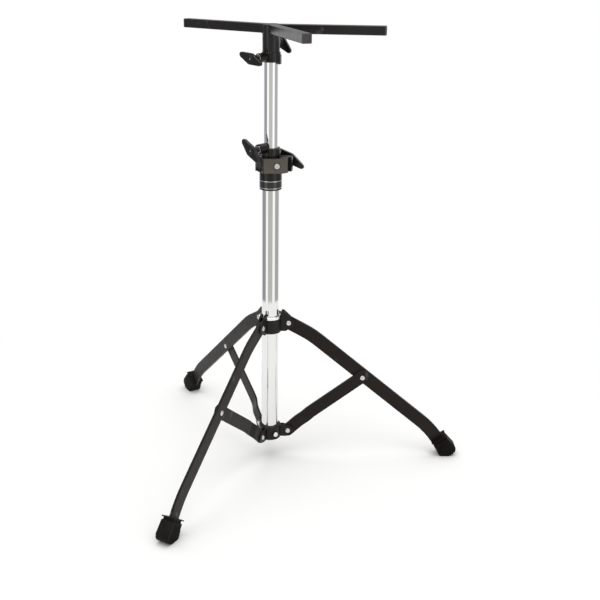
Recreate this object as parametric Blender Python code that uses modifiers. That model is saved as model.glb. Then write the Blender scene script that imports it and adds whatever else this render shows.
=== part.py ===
"""Folding tripod stand for a round practice pad: braced legs, two-stage mast, three-arm top."""
import math

import bmesh
import bpy
from mathutils import Matrix

# ---- Driving dimensions, in metres -------------------------------------------------------
GAP = 0.0003                      # room left between pieces that touch
MAST_X = -0.08625                 # mast axis, so that the box's centre stands over the origin

BASE_TUBE_R = 0.0159              # 31.8 mm base tube
BASE_TUBE_BORE = 0.0140
BASE_TUBE_Z = (0.0435, 0.5850)
UPPER_TUBE_R = 0.0127             # 25.4 mm upper tube
UPPER_TUBE_BORE = 0.0115
UPPER_TUBE_Z = (0.2650, 0.8290)

LEG_ANGLES = (0.0, 120.0, -120.0)  # degrees about the mast
LEG_SIDES = ("right", "back", "front")
PIVOT_R = 0.0350                  # leg and brace pivots, from the mast axis
LEG_PIVOT_Z = 0.2790
BRACE_PIVOT_Z = 0.0525
KNEE_R = 0.17875                  # rivet that joins a brace to its leg
KNEE_Z = (LEG_PIVOT_Z + BRACE_PIVOT_Z) / 2

LEG_WIDTH = 0.0256
LEG_THICK = 0.0050
LEG_PATH = ((PIVOT_R, LEG_PIVOT_Z), (0.0796, 0.2537), (0.3126, 0.0585), (0.3465, 0.0110))
LEG_BEND_R = 0.1800
BRACE_WIDTH = 0.0245
BRACE_THICK = 0.0035
BRACE_PATH = ((PIVOT_R, BRACE_PIVOT_Z), (0.0790, 0.0935), (KNEE_R, 0.1685))
BRACE_BEND_R = 0.0450
BRACE_SHIFT = LEG_THICK / 2 + GAP + BRACE_THICK / 2
JOGGLE = (0.0560, 0.0740)         # the brace steps sideways between these radii

BOOT_HALF = 0.0127                # half the boot's width across the leg
BOOT_TOP = ((0.3210, 0.0265), (0.3460, 0.0430))
BOOT_TOE_R = 0.3670
BOOT_HEEL_R = 0.3365
LIP = 0.0011

COLLAR_R = 0.0210
COLLAR_BORE = BASE_TUBE_R + GAP
LEG_COLLAR_Z = (0.2620, 0.2895)
TRIM_RING_Z = (0.2898, 0.2950)
LOW_COLLAR_Z = (0.0400, 0.0665)
EAR_THICK = 0.0028
EAR_R = 0.0110

RIVET_R = 0.0027
RIVET_HEAD_R = 0.0047
RIVET_HEAD = 0.0016

HOUSING_R = 0.0205
HOUSING_Z = (0.5403, 0.6005)
LABEL_Z = (0.5435, 0.5582)
CLAMP_Z = (0.5740, 0.6010)
SLIT_AZIMUTH = -15.0
CLAMP_BOLT = 0.0288               # clamp bolt, from the mast axis along the slit
CLAMP_BOLT_Z = 0.5920
CLAMP_LUG = 0.0130                # rear lug's outer face, from the slit
REAR_HALF_R = 0.0248
HINGE_X = -0.0245
HINGE_PIN_R = 0.0016
KNUCKLE_R = 0.0035
KEY_BOLT_X = 0.0112

LOCK_R = 0.0170
LOWER_LOCK_Z = (0.6013, 0.6170)
UPPER_LOCK_Z = (0.7695, 0.7867)
LOCK_AZIMUTH = -134.0
LOCK_SEAT = 0.0326                # boss face, from the tube's axis
LUG_AZIMUTH = -20.0

SLEEVE_R = 0.0154
SLEEVE_Z = (0.7870, 0.8327)
SLEEVE_AZIMUTH = 66.0
ARM_SIDE = 0.0160
ARM_WALL = 0.0015
ARM_TOP = 0.8350
ARM_REACH = 0.1985                # arm's end, from the mast axis, without its cap
CAP_THICK = 0.0020
ARM_ANGLES = {"left": 141.2, "right": -11.5, "front": -74.3}

SCREW_R = 0.0030
BLADE_REACH = 0.0268
CLAMP_BLADE_REACH = 0.0305        # the height clamp has the largest wing bolt
BLADE_WAIST = 0.0095
WASHER = 0.0015
WASHER_R = 0.0068
LEG_LOCK_AZIMUTH = 68.0
LEG_LOCK_SEAT = 0.0285

BLACK = (0.035, 0.034, 0.033)
SATIN = (0.022, 0.022, 0.023)
RUBBER = (0.012, 0.012, 0.013)
PLASTIC = (0.016, 0.016, 0.017)
CHROME = (0.80, 0.81, 0.82)
STEEL = (0.62, 0.61, 0.60)
GREY = (0.110, 0.104, 0.092)
NYLON = (0.55, 0.54, 0.50)


# ---- Collections, objects and materials --------------------------------------------------
def fresh_scene():
    for obj in list(bpy.data.objects):
        bpy.data.objects.remove(obj, do_unlink=True)
    parts = bpy.data.collections.new("practice_pad_stand")
    cutters = bpy.data.collections.new("cutters")
    bpy.context.scene.collection.children.link(parts)
    bpy.context.scene.collection.children.link(cutters)
    return parts, cutters


PARTS, CUTTERS = fresh_scene()


def finish(obj, colour, roughness, metallic=0.0):
    """Give a piece its own material and smooth its round faces."""
    material = bpy.data.materials.new(obj.name)
    material.use_nodes = True
    shader = material.node_tree.nodes["Principled BSDF"]
    shader.inputs["Base Color"].default_value = (*colour, 1.0)
    shader.inputs["Roughness"].default_value = roughness
    shader.inputs["Metallic"].default_value = metallic
    obj.data.materials.clear()
    obj.data.materials.append(material)
    obj.data.shade_smooth()
    obj.data.set_sharp_from_angle(angle=math.radians(35))
    return obj


def new_object(name, mesh, location=(0, 0, 0), rotation=(0, 0, 0)):
    obj = bpy.data.objects.new(name, mesh)
    obj.location = (location[0] + MAST_X, location[1], location[2])
    obj.rotation_euler = [math.radians(angle) for angle in rotation]
    PARTS.objects.link(obj)
    return obj


def evaluated_mesh(obj):
    """The mesh of an object with its modifiers applied and its seams welded."""
    bpy.context.view_layer.update()
    graph = bpy.context.evaluated_depsgraph_get()
    mesh = bpy.data.meshes.new_from_object(obj.evaluated_get(graph))
    bm = bmesh.new()
    bm.from_mesh(mesh)
    bmesh.ops.remove_doubles(bm, verts=bm.verts, dist=0.000002)
    bm.to_mesh(mesh)
    bm.free()
    return mesh


def boolean(obj, other, operation):
    modifier = obj.modifiers.new(operation.title(), "BOOLEAN")
    modifier.operation = operation
    modifier.object = other
    modifier.solver = "EXACT"


def add(obj, *others):
    """Join closed bodies into one body."""
    for other in others:
        boolean(obj, other, "UNION")
    obj.data = evaluated_mesh(obj)
    obj.modifiers.clear()
    for other in others:
        bpy.data.objects.remove(other, do_unlink=True)
    return obj


def cut(obj, *cutters):
    """Cut with bodies that stay in the file as wire cutters."""
    for index, cutter in enumerate(cutters):
        PARTS.objects.unlink(cutter)
        CUTTERS.objects.link(cutter)
        cutter.name = f"cut_{obj.name}_{index}"
        cutter.hide_render = True
        cutter.display_type = "WIRE"
        boolean(obj, cutter, "DIFFERENCE")
    return obj


def joint_empty(name, location, children):
    """An empty on a joint's axis that carries the pieces turning about it."""
    empty = bpy.data.objects.new(name, None)
    empty.empty_display_size = 0.02
    empty.location = location
    PARTS.objects.link(empty)
    bpy.context.view_layer.update()
    for child in children:
        child.parent = empty
        child.matrix_parent_inverse = empty.matrix_world.inverted()


# ---- Basic shapes ------------------------------------------------------------------------
def turned(name, profile, steps=28, along_x=False, **place):
    """Turn a profile of (radius, height) points about Z; it runs down its outer side."""
    ring = profile[0][0] > 0
    mesh = bpy.data.meshes.new(name)
    edges = [(i, i + 1) for i in range(len(profile) - 1)]
    if ring:
        edges.append((len(profile) - 1, 0))
    mesh.from_pydata([(radius, 0, height) for radius, height in profile], edges, [])
    obj = new_object(name, mesh)
    screw = obj.modifiers.new("Screw", "SCREW")
    screw.steps = steps
    screw.render_steps = steps
    screw.use_merge_vertices = True
    screw.merge_threshold = 0.00001
    obj.data = evaluated_mesh(obj)
    obj.modifiers.clear()
    if along_x:
        obj.data.transform(Matrix.Rotation(math.pi / 2, 4, "Y"))
    location = place.get("location", (0, 0, 0))
    obj.location = (location[0] + MAST_X, location[1], location[2])
    obj.rotation_euler = [math.radians(angle) for angle in place.get("rotation", (0, 0, 0))]
    return obj


def tube(name, outer, bore, low, high, steps=28, **place):
    profile = ((outer, high), (outer, low), (bore, low), (bore, high))
    return turned(name, profile, steps, **place)


def rod(name, radius, start, end, steps=16, **place):
    """A plain cylinder; along_x lays it on +X."""
    return turned(name, ((0, end), (radius, end), (radius, start), (0, start)), steps, **place)


def box(name, low, high, **place):
    bm = bmesh.new()
    bmesh.ops.create_cube(bm, size=1.0)
    size = [b - a for a, b in zip(low, high)]
    middle = [(a + b) / 2 for a, b in zip(low, high)]
    bmesh.ops.scale(bm, vec=size, verts=bm.verts)
    bmesh.ops.translate(bm, vec=middle, verts=bm.verts)
    mesh = bpy.data.meshes.new(name)
    bm.to_mesh(mesh)
    bm.free()
    return new_object(name, mesh, **place)


def plate(name, outline, thickness, centre=0.0, upright=True, **place):
    """A flat outline with thickness: upright in the XZ plane, or lying in the XY plane."""
    curve = bpy.data.curves.new(name, "CURVE")
    curve.dimensions = "2D"
    curve.fill_mode = "BOTH"
    curve.extrude = thickness / 2
    spline = curve.splines.new("POLY")
    spline.points.add(len(outline) - 1)
    for point, (x, y) in zip(spline.points, outline):
        point.co = (x, y, 0, 1)
    spline.use_cyclic_u = True
    guide = new_object(name, curve)
    mesh = evaluated_mesh(guide)
    bpy.data.objects.remove(guide, do_unlink=True)
    mesh.transform(Matrix.Translation((0, 0, centre)))
    if upright:
        mesh.transform(Matrix.Rotation(math.pi / 2, 4, "X") @ Matrix.Scale(-1, 4, (0, 0, 1)))
    bm = bmesh.new()
    bm.from_mesh(mesh)
    bmesh.ops.recalc_face_normals(bm, faces=bm.faces)
    bm.to_mesh(mesh)
    bm.free()
    return new_object(name, mesh, **place)


def arc(centre, radius, start, end, steps):
    """Points on a circle from one angle to another, in degrees."""
    points = []
    for i in range(steps + 1):
        angle = math.radians(start + (end - start) * i / steps)
        points.append((centre[0] + radius * math.cos(angle), centre[1] + radius * math.sin(angle)))
    return points


# ---- Straps ------------------------------------------------------------------------------
def rounded_path(corners, radius, steps=4):
    """A polyline whose inner corners are replaced by arcs: (point, direction) pairs."""
    headings = []
    for (x0, y0), (x1, y1) in zip(corners, corners[1:]):
        headings.append(math.atan2(y1 - y0, x1 - x0))
    path = [(corners[0], headings[0])]
    for corner, before, after in zip(corners[1:], headings, headings[1:]):
        turn = after - before
        reach = radius * math.tan(abs(turn) / 2)
        side = math.copysign(radius, turn)
        start = (corner[0] - reach * math.cos(before), corner[1] - reach * math.sin(before))
        centre = (start[0] - side * math.sin(before), start[1] + side * math.cos(before))
        for i in range(steps + 1):
            heading = before + turn * i / steps
            point = (centre[0] + side * math.sin(heading), centre[1] - side * math.cos(heading))
            path.append((point, heading))
    path.append((corners[-1], headings[-1]))
    return path


def strap_outline(corners, radius, width, round_end):
    """Outline of a strap along a path, with a half-round start and, if asked, end."""
    path = rounded_path(corners, radius)
    half = width / 2
    left = [(x - half * math.sin(h), y + half * math.cos(h)) for (x, y), h in path]
    right = [(x + half * math.sin(h), y - half * math.cos(h)) for (x, y), h in path]
    first = math.degrees(path[0][1])
    start_cap = arc(path[0][0], half, first + 90, first + 270, 8)[1:-1]
    end_cap = []
    if round_end:
        last = math.degrees(path[-1][1])
        end_cap = arc(path[-1][0], half, last - 90, last + 90, 8)[1:-1]
    return right + end_cap + left[::-1] + start_cap


def rivet(name, low, high, radius, height, angle, steps=12):
    """A rivet across the leg plane, its heads just clear of the plates at low and high."""
    top = high + GAP
    bottom = low - GAP
    edge = RIVET_HEAD_R
    profile = (
        (0, top + RIVET_HEAD), (edge * 0.6, top + RIVET_HEAD), (edge, top), (RIVET_R, top),
        (RIVET_R, bottom), (edge, bottom), (edge * 0.6, bottom - RIVET_HEAD), (0, bottom - RIVET_HEAD),
    )
    obj = turned(name, profile, steps)
    obj.data.transform(Matrix.Rotation(-math.pi / 2, 4, "X"))
    obj.data.transform(Matrix.Translation((radius, 0, height)))
    obj.rotation_euler.z = math.radians(angle)
    return finish(obj, STEEL, 0.3, 1.0)


def rivet_hole(name, radius, height, angle):
    hole = rod(name, RIVET_R + GAP, -0.02, 0.02, 12)
    hole.data.transform(Matrix.Rotation(-math.pi / 2, 4, "X"))
    hole.data.transform(Matrix.Translation((radius, 0, height)))
    hole.rotation_euler.z = math.radians(angle)
    return hole


def leg_strap(name, angle):
    outline = strap_outline(LEG_PATH, LEG_BEND_R, LEG_WIDTH, False)
    strap = plate(name, outline, LEG_THICK, rotation=(0, 0, angle))
    cut(strap, rivet_hole("hole", PIVOT_R, LEG_PIVOT_Z, angle), rivet_hole("hole", KNEE_R, KNEE_Z, angle))
    return finish(strap, BLACK, 0.5)


def brace_strap(name, angle):
    """A flat brace that steps sideways, from its collar's ear to the flank of its leg."""
    outline = strap_outline(BRACE_PATH, BRACE_BEND_R, BRACE_WIDTH, True)
    strap = plate(name, outline, BRACE_THICK, rotation=(0, 0, angle))
    rise = math.atan2(BRACE_PATH[2][1] - BRACE_PATH[1][1], BRACE_PATH[2][0] - BRACE_PATH[1][0])
    along = (math.cos(rise), 0, math.sin(rise))
    low, high = ((r - PIVOT_R) / math.cos(rise) for r in JOGGLE)
    bm = bmesh.new()
    bm.from_mesh(strap.data)
    origin = (PIVOT_R, 0, BRACE_PIVOT_Z)
    for distance in (low, high):
        spot = [o + a * distance for o, a in zip(origin, along)]
        everything = bm.verts[:] + bm.edges[:] + bm.faces[:]
        bmesh.ops.bisect_plane(bm, geom=everything, plane_co=spot, plane_no=along)
    for vert in bm.verts:
        distance = sum((c - o) * a for c, o, a in zip(vert.co, origin, along))
        vert.co.y -= BRACE_SHIFT * min(1.0, max(0.0, (distance - low) / (high - low)))
    bm.to_mesh(strap.data)
    bm.free()
    cut(strap, rivet_hole("hole", PIVOT_R, BRACE_PIVOT_Z, angle), rivet_hole("hole", KNEE_R, KNEE_Z, angle))
    return finish(strap, BLACK, 0.5)


def boot(name, angle):
    """A rubber foot: a block with a curved toe and flat heel, a lip, and a pocket for the leg."""
    toe = arc((BOOT_TOE_R - 0.0165, 0.0165), 0.0165, -90, 0, 5)
    block = [(BOOT_HEEL_R, 0.0), *toe, (BOOT_TOE_R - 0.001, 0.0200), BOOT_TOP[1], BOOT_TOP[0],
             (BOOT_HEEL_R - 0.0025, 0.0040)]
    body = plate(name, block, 2 * BOOT_HALF, rotation=(0, 0, angle))
    (x0, z0), (x1, z1) = BOOT_TOP
    length = math.hypot(x1 - x0, z1 - z0)
    ux, uz = (x1 - x0) / length, (z1 - z0) / length
    rim = [(x0 - LIP * ux, z0 - LIP * uz), (x1 + LIP * ux, z1 + LIP * uz)]
    rim += [(x - 0.0024 * uz, z + 0.0024 * ux) for x, z in rim[::-1]]
    shift = [(x + 0.0008 * uz, z - 0.0008 * ux) for x, z in rim]
    add(body, plate("lip", shift, 2 * (BOOT_HALF + LIP), rotation=(0, 0, angle)))
    last = LEG_PATH[-1]
    before = LEG_PATH[-2]
    stretch = 1 + GAP / math.hypot(last[0] - before[0], last[1] - before[1])
    end = (before[0] + (last[0] - before[0]) * stretch, before[1] + (last[1] - before[1]) * stretch)
    pocket = strap_outline((*LEG_PATH[1:3], end), LEG_BEND_R, LEG_WIDTH + 2 * GAP, False)
    cut(body, plate("pocket", pocket, LEG_THICK + 2 * GAP, rotation=(0, 0, angle)))
    return finish(body, RUBBER, 0.7)


# ---- Collars -----------------------------------------------------------------------------
def ear_plates(angle, outline, strap_thick):
    """The two plates that hold a strap end between them."""
    offset = strap_thick / 2 + GAP + EAR_THICK / 2
    sides = (-offset, offset)
    return [plate("ear", outline, EAR_THICK, side, rotation=(0, 0, angle)) for side in sides]


def ear_holes(height):
    return [rivet_hole("hole", PIVOT_R, height, angle) for angle in LEG_ANGLES]


def leg_collar():
    """Sliding collar: a ring, three pairs of ears that rise beside it, and a lock boss."""
    low, high = LEG_COLLAR_Z
    collar = tube("leg_collar", COLLAR_R, COLLAR_BORE, low, high, 24)
    nose = arc((PIVOT_R, LEG_PIVOT_Z), EAR_R, -80, 62, 6)
    outline = [(0.0180, low + 0.001), (0.0300, low + 0.001), *nose, (0.0265, high + 0.0140),
               (0.0225, high + 0.0140), (0.0216, high + 0.0115), (0.0216, high - 0.0006),
               (0.0180, high - 0.0006)]
    ears = [ear for angle in LEG_ANGLES for ear in ear_plates(angle, outline, LEG_THICK)]
    middle = (low + high) / 2
    turn = (0, 0, LEG_LOCK_AZIMUTH)
    boss = rod("boss", 0.0085, 0.0180, LEG_LOCK_SEAT, 16, along_x=True,
               location=(0, 0, middle), rotation=turn)
    add(collar, *ears, boss)
    screw_hole = rod("hole", SCREW_R + GAP, 0.0100, 0.0400, 14, along_x=True,
                     location=(0, 0, middle), rotation=turn)
    cut(collar, screw_hole, *ear_holes(LEG_PIVOT_Z))
    return finish(collar, SATIN, 0.4)


def lower_collar():
    """Fixed collar on the foot of the base tube: a ring, three pairs of ears and a screw boss."""
    low, high = LOW_COLLAR_Z
    collar = tube("lower_collar", COLLAR_R, COLLAR_BORE, low, high, 24)
    nose = arc((PIVOT_R, BRACE_PIVOT_Z), EAR_R, -90, 90, 7)
    outline = [(0.0180, low + 0.001), (0.0280, low + 0.001), *nose, (0.0240, high - 0.001),
               (0.0180, high - 0.001)]
    ears = [ear for angle in LEG_ANGLES for ear in ear_plates(angle, outline, BRACE_THICK)]
    place = {"along_x": True, "location": (0, 0, BRACE_PIVOT_Z), "rotation": (0, 0, -62)}
    add(collar, *ears, rod("boss", 0.0062, 0.0180, 0.0225, 20, **place))
    cut(collar, rod("hole", 0.0028, 0.0100, 0.0300, 14, **place), *ear_holes(BRACE_PIVOT_Z))
    return finish(collar, SATIN, 0.4)


def lower_collar_screw():
    profile = ((0, 0.0236), (0.0018, 0.0236), (0.0022, 0.0250), (0.0040, 0.0250), (0.0046, 0.0242),
               (0.0046, 0.0228), (0.0025, 0.0228), (0.0025, 0.0163), (0, 0.0163))
    screw = turned("lower_collar_screw", profile, 16, along_x=True,
                   location=(0, 0, BRACE_PIVOT_Z), rotation=(0, 0, -62))
    return finish(screw, CHROME, 0.2, 1.0)


# ---- Wing bolts --------------------------------------------------------------------------
def wing_bolt(name, seat, tip, azimuth, roll, location, reach=BLADE_REACH):
    """A wing bolt on +X before it is turned: screw, neck, hub and two tapered blades."""
    start = seat + WASHER + 2 * GAP
    profile = (
        (0, start + 0.0205), (0.0054, start + 0.0205), (0.0068, start + 0.0190),
        (0.0068, start + 0.0120), (0.0050, start + 0.0090), (0.0050, start + 0.0030),
        (0.0064, start + 0.0015), (0.0064, start), (SCREW_R, start), (SCREW_R, tip), (0, tip),
    )
    place = {"location": location, "rotation": (roll, 0, azimuth)}
    bolt = turned(name, profile, 16, along_x=True, **place)
    end = reach - 0.0040
    blade = [(BLADE_WAIST, 0.0), *arc((0, end), 0.0040, 8, 172, 6),
             (-BLADE_WAIST, 0.0), *arc((0, -end), 0.0040, 188, 352, 6)]
    blades = plate("blades", blade, 0.0066, start + 0.0160, upright=False, **place)
    blades.data.transform(Matrix(((0, 0, 1, 0), (1, 0, 0, 0), (0, 1, 0, 0), (0, 0, 0, 1))))
    add(bolt, blades)
    return finish(bolt, PLASTIC, 0.4)


def washer(name, seat, azimuth, location):
    low = seat + GAP
    ring = tube(name, WASHER_R, SCREW_R + GAP, low, low + WASHER, 20, along_x=True,
                location=location, rotation=(0, 0, azimuth))
    return finish(ring, CHROME, 0.2, 1.0)


def stop_lock(name, low, high, boss_z, boss_r, lug_drop):
    """A clamp ring on the upper tube, with a screw boss and a small lug on the other side."""
    turn = (0, 0, LOCK_AZIMUTH)
    ring = tube(name, LOCK_R, UPPER_TUBE_R + GAP, low, high)
    boss = rod("boss", boss_r, 0.0145, LOCK_SEAT, 18, along_x=True, location=(0, 0, boss_z), rotation=turn)
    lug = box("lug", (0.0140, -0.0045, low - lug_drop), (0.0182, 0.0045, high - 0.0040),
              rotation=(0, 0, LUG_AZIMUTH))
    add(ring, boss, lug)
    bore = rod("bore", UPPER_TUBE_R + GAP, low - 0.02, high + 0.03, 28)
    hole = rod("hole", SCREW_R + GAP, 0.0080, 0.0400, 14, along_x=True,
               location=(0, 0, boss_z), rotation=turn)
    cut(ring, bore, hole)
    return finish(ring, PLASTIC, 0.35)


# ---- Height joint ------------------------------------------------------------------------
def height_joint():
    low, high = HOUSING_Z
    shoulder = BASE_TUBE_Z[1] + GAP
    bore = UPPER_TUBE_R + GAP
    groove = HOUSING_R - 0.0007
    profile = (
        (HOUSING_R, high), (HOUSING_R, LABEL_Z[1]), (groove, LABEL_Z[1]), (groove, LABEL_Z[0]),
        (HOUSING_R, LABEL_Z[0]), (HOUSING_R, low), (COLLAR_BORE, low), (COLLAR_BORE, shoulder),
        (bore, shoulder), (bore, high),
    )
    housing = finish(turned("joint_housing", profile, 32), PLASTIC, 0.35)
    label = tube("label_band", HOUSING_R + 0.0003, groove + GAP, LABEL_Z[0] + GAP, LABEL_Z[1] - GAP, 32)
    finish(label, SATIN, 0.25)
    bush = tube("guide_bush", BASE_TUBE_BORE - GAP, bore, BASE_TUBE_Z[1] - 0.0320, BASE_TUBE_Z[1], 24)
    finish(bush, NYLON, 0.5)
    return [housing, label, bush, *clamp_halves(), *clamp_pieces()]


def leaf(side, low, high):
    """A hinge knuckle and the web that ties it to its half of the clamp."""
    near, far = sorted((side * 0.0024, side * 0.0080))
    web = box("web", (HINGE_X - 0.0022, near, low), (HINGE_X + 0.0031, far, high))
    return tube("knuckle", KNUCKLE_R, HINGE_PIN_R + GAP, low, high, 18, location=(HINGE_X, 0, 0)), web


def beside_slit(distance, offset):
    """A point in plan, measured along the clamp's slit and square to it."""
    turn = math.radians(SLIT_AZIMUTH)
    return (distance * math.cos(turn) - offset * math.sin(turn),
            distance * math.sin(turn) + offset * math.cos(turn))


def clamp_halves():
    """A hinged clamp round the housing: a square front half and a round rear half."""
    low, high = CLAMP_Z
    middle = (low + high) / 2
    tall = high - low
    inner = HOUSING_R + GAP
    slit = SLIT_AZIMUTH
    front_outline = [(-0.0205, -0.0046), (-0.0238, -0.0046), (-0.0238, -0.0090), (-0.0175, -0.0135),
                     (-0.0146, -0.0250), (-0.0130, -0.0260), (0.0215, -0.0260), (0.0305, -0.0185),
                     beside_slit(0.0338, -0.0010), *arc((0, 0), inner, slit - 3, -166, 14)]
    front = plate("clamp_front_half", front_outline, tall, middle, upright=False)
    add(front, *leaf(-1, middle - 0.0055 + GAP, middle + 0.0055 - GAP))
    rear_outline = [beside_slit(0.0385, 0.0010), beside_slit(0.0385, CLAMP_LUG),
                    beside_slit(0.0218, CLAMP_LUG), *arc((0, 0), REAR_HALF_R, 34, 166, 12),
                    (-0.0205, 0.0046), *arc((0, 0), inner, 166, slit + 3, 16)]
    rear = plate("clamp_rear_half", rear_outline, tall, middle, upright=False)
    add(rear, *leaf(1, low, middle - 0.0055), *leaf(1, middle + 0.0055, high))
    for half in (front, rear):
        cut(half, rod("bolt_hole", SCREW_R + GAP, -0.0090, 0.0200, 14, along_x=True, **clamp_bolt_place()))
    cut(front, rod("key_hole", 0.0028, 0.0100, 0.0300, 14, along_x=True,
                   location=(KEY_BOLT_X, 0, middle), rotation=(0, 0, -90)))
    return finish(front, GREY, 0.55), finish(rear, SATIN, 0.45)


def clamp_bolt_place():
    x, y = beside_slit(CLAMP_BOLT, 0.0)
    return {"location": (x, y, CLAMP_BOLT_Z), "rotation": (0, 0, 90 + SLIT_AZIMUTH)}


def clamp_pieces():
    low, high = CLAMP_Z
    middle = (low + high) / 2
    pin = finish(rod("clamp_hinge_pin", HINGE_PIN_R, low, high, location=(HINGE_X, 0, 0)), STEEL, 0.3, 1.0)
    profile = ((0, 0.0282), (0.0012, 0.0282), (0.0016, 0.0296), (0.0040, 0.0296), (0.0047, 0.0288),
               (0.0047, 0.0263), (0.0025, 0.0263), (0.0025, 0.0212), (0, 0.0212))
    key_bolt = turned("clamp_key_bolt", profile, 18, along_x=True,
                      location=(KEY_BOLT_X, 0, middle), rotation=(0, 0, -90))
    return pin, finish(key_bolt, CHROME, 0.2, 1.0)


# ---- Top frame ---------------------------------------------------------------------------
def top_sleeve(bolt_z):
    low, high = SLEEVE_Z
    place = {"along_x": True, "location": (0, 0, bolt_z), "rotation": (0, 0, SLEEVE_AZIMUTH)}
    sleeve = tube("top_sleeve", SLEEVE_R, UPPER_TUBE_R + GAP, low, high, 32)
    add(sleeve, rod("boss", 0.0078, 0.0140, 0.0260, 20, **place))
    bore = rod("bore", UPPER_TUBE_R + GAP, low - 0.01, high + 0.01, 32)
    cut(sleeve, bore, rod("hole", SCREW_R + GAP, 0.0080, 0.0400, 14, **place))
    return finish(sleeve, SATIN, 0.4)


def sleeve_cap():
    top = ARM_TOP
    rim = SLEEVE_Z[1] + GAP
    spigot = UPPER_TUBE_R
    profile = ((0, top), (SLEEVE_R - 0.0008, top), (SLEEVE_R, top - 0.0008), (SLEEVE_R, rim),
               (spigot, rim), (spigot, UPPER_TUBE_Z[1] + GAP), (0, UPPER_TUBE_Z[1] + GAP))
    return finish(turned("sleeve_cap", profile, 32), PLASTIC, 0.5)


def arm(side, angle):
    """A square tube whose inner end is coped round the sleeve."""
    half = ARM_SIDE / 2
    low = ARM_TOP - ARM_SIDE
    turn = {"rotation": (0, 0, angle)}
    piece = box(f"arm_{side}", (0.0080, -half, low), (ARM_REACH, half, ARM_TOP), **turn)
    hollow = box("hollow", (0.0000, -half + ARM_WALL, low + ARM_WALL),
                 (ARM_REACH + 0.01, half - ARM_WALL, ARM_TOP - ARM_WALL), **turn)
    cope = rod("cope", SLEEVE_R + GAP, low - 0.01, ARM_TOP + 0.01, 32)
    cut(piece, hollow, cope)
    return finish(piece, SATIN, 0.4)


def arm_cap(side, angle):
    half = ARM_SIDE / 2
    middle = ARM_TOP - half
    inside = half - ARM_WALL - GAP
    face = ARM_REACH + GAP
    turn = {"rotation": (0, 0, angle)}
    cap = box(f"arm_cap_{side}", (face, -half, middle - half), (face + CAP_THICK, half, ARM_TOP), **turn)
    add(cap, box("spigot", (face - 0.0120, -inside, middle - inside),
                 (face + 0.0010, inside, middle + inside), **turn))
    bevel = cap.modifiers.new("Bevel", "BEVEL")
    bevel.width = 0.0005
    bevel.segments = 1
    return finish(cap, RUBBER, 0.5)


# ---- Assembly ----------------------------------------------------------------------------
def mast_tubes():
    low, high = BASE_TUBE_Z
    base = tube("base_tube", BASE_TUBE_R, BASE_TUBE_BORE, low, high, 36)
    finish(base, CHROME, 0.08, 1.0)
    plug_top = low + 0.0140
    plug_profile = ((0, plug_top), (BASE_TUBE_BORE - GAP, plug_top), (BASE_TUBE_BORE - GAP, low - GAP),
                    (BASE_TUBE_R, low - GAP), (BASE_TUBE_R, LOW_COLLAR_Z[0]), (0, LOW_COLLAR_Z[0]))
    finish(turned("base_tube_plug", plug_profile, 24), RUBBER, 0.6)
    bottom, top = UPPER_TUBE_Z
    upper = tube("upper_tube", UPPER_TUBE_R, UPPER_TUBE_BORE, bottom, top, 36)
    finish(upper, CHROME, 0.08, 1.0)
    spigot = UPPER_TUBE_BORE - GAP
    flange = BASE_TUBE_BORE - GAP
    glide_profile = ((0, bottom + 0.0180), (spigot, bottom + 0.0180), (spigot, bottom - GAP),
                     (flange, bottom - GAP), (flange, bottom - 0.0080), (0, bottom - 0.0080))
    glide = finish(turned("upper_tube_glide", glide_profile, 24), NYLON, 0.5)
    joint_empty("height_slide_axis", (MAST_X, 0, HOUSING_Z[1]), (upper, glide))


def tripod():
    leg_flange = LEG_THICK / 2 + GAP + EAR_THICK
    brace_flange = BRACE_THICK / 2 + GAP + EAR_THICK
    for side, angle in zip(LEG_SIDES, LEG_ANGLES):
        turn = math.radians(angle)

        def on_plane(radius, height):
            return (MAST_X + radius * math.cos(turn), radius * math.sin(turn), height)

        rivet(f"brace_pivot_rivet_{side}", -brace_flange, brace_flange, PIVOT_R, BRACE_PIVOT_Z, angle)
        rivet(f"leg_pivot_rivet_{side}", -leg_flange, leg_flange, PIVOT_R, LEG_PIVOT_Z, angle)
        knee = rivet(f"knee_rivet_{side}", -BRACE_SHIFT - BRACE_THICK / 2, LEG_THICK / 2,
                     KNEE_R, KNEE_Z, angle)
        leg_pieces = (leg_strap(f"leg_{side}", angle), boot(f"boot_{side}", angle), knee)
        joint_empty(f"leg_axis_{side}", on_plane(KNEE_R, KNEE_Z), leg_pieces)
        joint_empty(f"brace_axis_{side}", on_plane(PIVOT_R, BRACE_PIVOT_Z),
                    (brace_strap(f"brace_{side}", angle),))
    ring = tube("collar_trim_ring", COLLAR_R, COLLAR_BORE + 0.0005, *TRIM_RING_Z)
    finish(ring, CHROME, 0.12, 1.0)
    lower_collar()
    lower_collar_screw()
    joint_empty("leg_collar_axis", on_plane_of_first_leg(), (leg_collar(), ring))


def on_plane_of_first_leg():
    """The right leg's upper pivot, about which the collar is hung."""
    return (MAST_X + PIVOT_R, 0, LEG_PIVOT_Z)


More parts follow.
